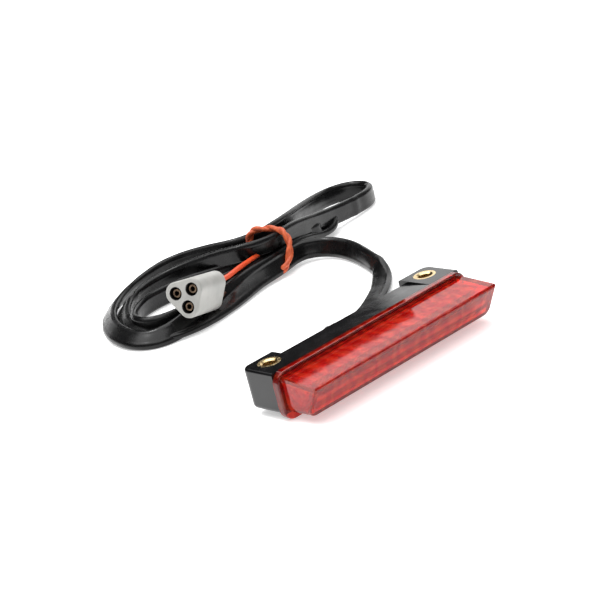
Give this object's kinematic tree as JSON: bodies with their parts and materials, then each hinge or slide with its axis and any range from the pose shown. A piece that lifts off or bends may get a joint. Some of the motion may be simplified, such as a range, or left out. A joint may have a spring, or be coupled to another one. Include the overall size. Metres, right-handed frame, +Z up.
{
  "type": "motorcycle tail light",
  "caption": "Slim red LED tail light with threaded brass inserts in its ears and a flat lead, wound in a tied hank, ending in a pin-socket connector.",
  "frame": {"origin": "middle of the lamp's footprint, on the surface it lies on, leaving out the lead", "axes": "X along the lamp, +Y towards its back where the lead comes out, -Y where the lens looks, +Z up"},
  "size_m": [0.1555, 0.1632, 0.0198],
  "materials": {
    "lens": "clear red moulded acrylic, polished",
    "housing": "black ABS, glossy top, satin ends",
    "sealant": "black bonded bead",
    "brass": "turned and knurled brass",
    "reflector": "vacuum-metallised plastic",
    "board": "white solder mask on glass-fibre board",
    "led": "white package, clear dome",
    "chip": "black moulded component",
    "steel": "zinc-plated steel",
    "grommet": "black rubber, matte",
    "potting": "black potting resin",
    "solder": "tin solder",
    "sleeve": "black soft PVC sleeve, satin",
    "wire_orange": "orange-red PVC insulation",
    "wire_brown": "brown PVC insulation",
    "wire_black": "black PVC insulation",
    "nylon": "natural light-grey nylon",
    "terminal": "tinned bronze, darkened",
    "band": "orange rubber band"
  },
  "bodies": {
    "root": {"rear_housing": "housing", "outer_lens": "lens", "lens_seal": "sealant", "threaded_insert_left": "brass", "threaded_insert_right": "brass", "reflector": "reflector", "led_board": "board", "regulator": "chip", "board_screws": "steel", "cable_grommet": "grommet", "potting_block": "potting", "solder_joints": "solder", "led_01": "led", "led_02": "led", "led_03": "led", "led_04": "led", "led_05": "led", "led_06": "led", "led_07": "led", "led_08": "led", "led_09": "led", "led_10": "led", "led_11": "led", "led_12": "led", "led_13": "led", "led_14": "led", "led_15": "led", "resistor_1": "chip", "resistor_2": "chip", "resistor_3": "chip", "resistor_4": "chip", "diode_1": "chip", "diode_2": "chip", "inner_wire_1": "wire_brown", "inner_wire_2": "wire_black", "inner_wire_3": "wire_orange", "connector_wire_1": "wire_brown", "connector_wire_2": "wire_orange", "connector_wire_3": "wire_black", "socket_terminal_1": "terminal", "socket_terminal_2": "terminal", "socket_terminal_3": "terminal", "cable_hank": "sleeve", "cable_sleeve": "sleeve", "sleeve_collar": "sleeve", "rubber_band": "band", "connector_housing": "nylon"}
  },
  "joints": []
}
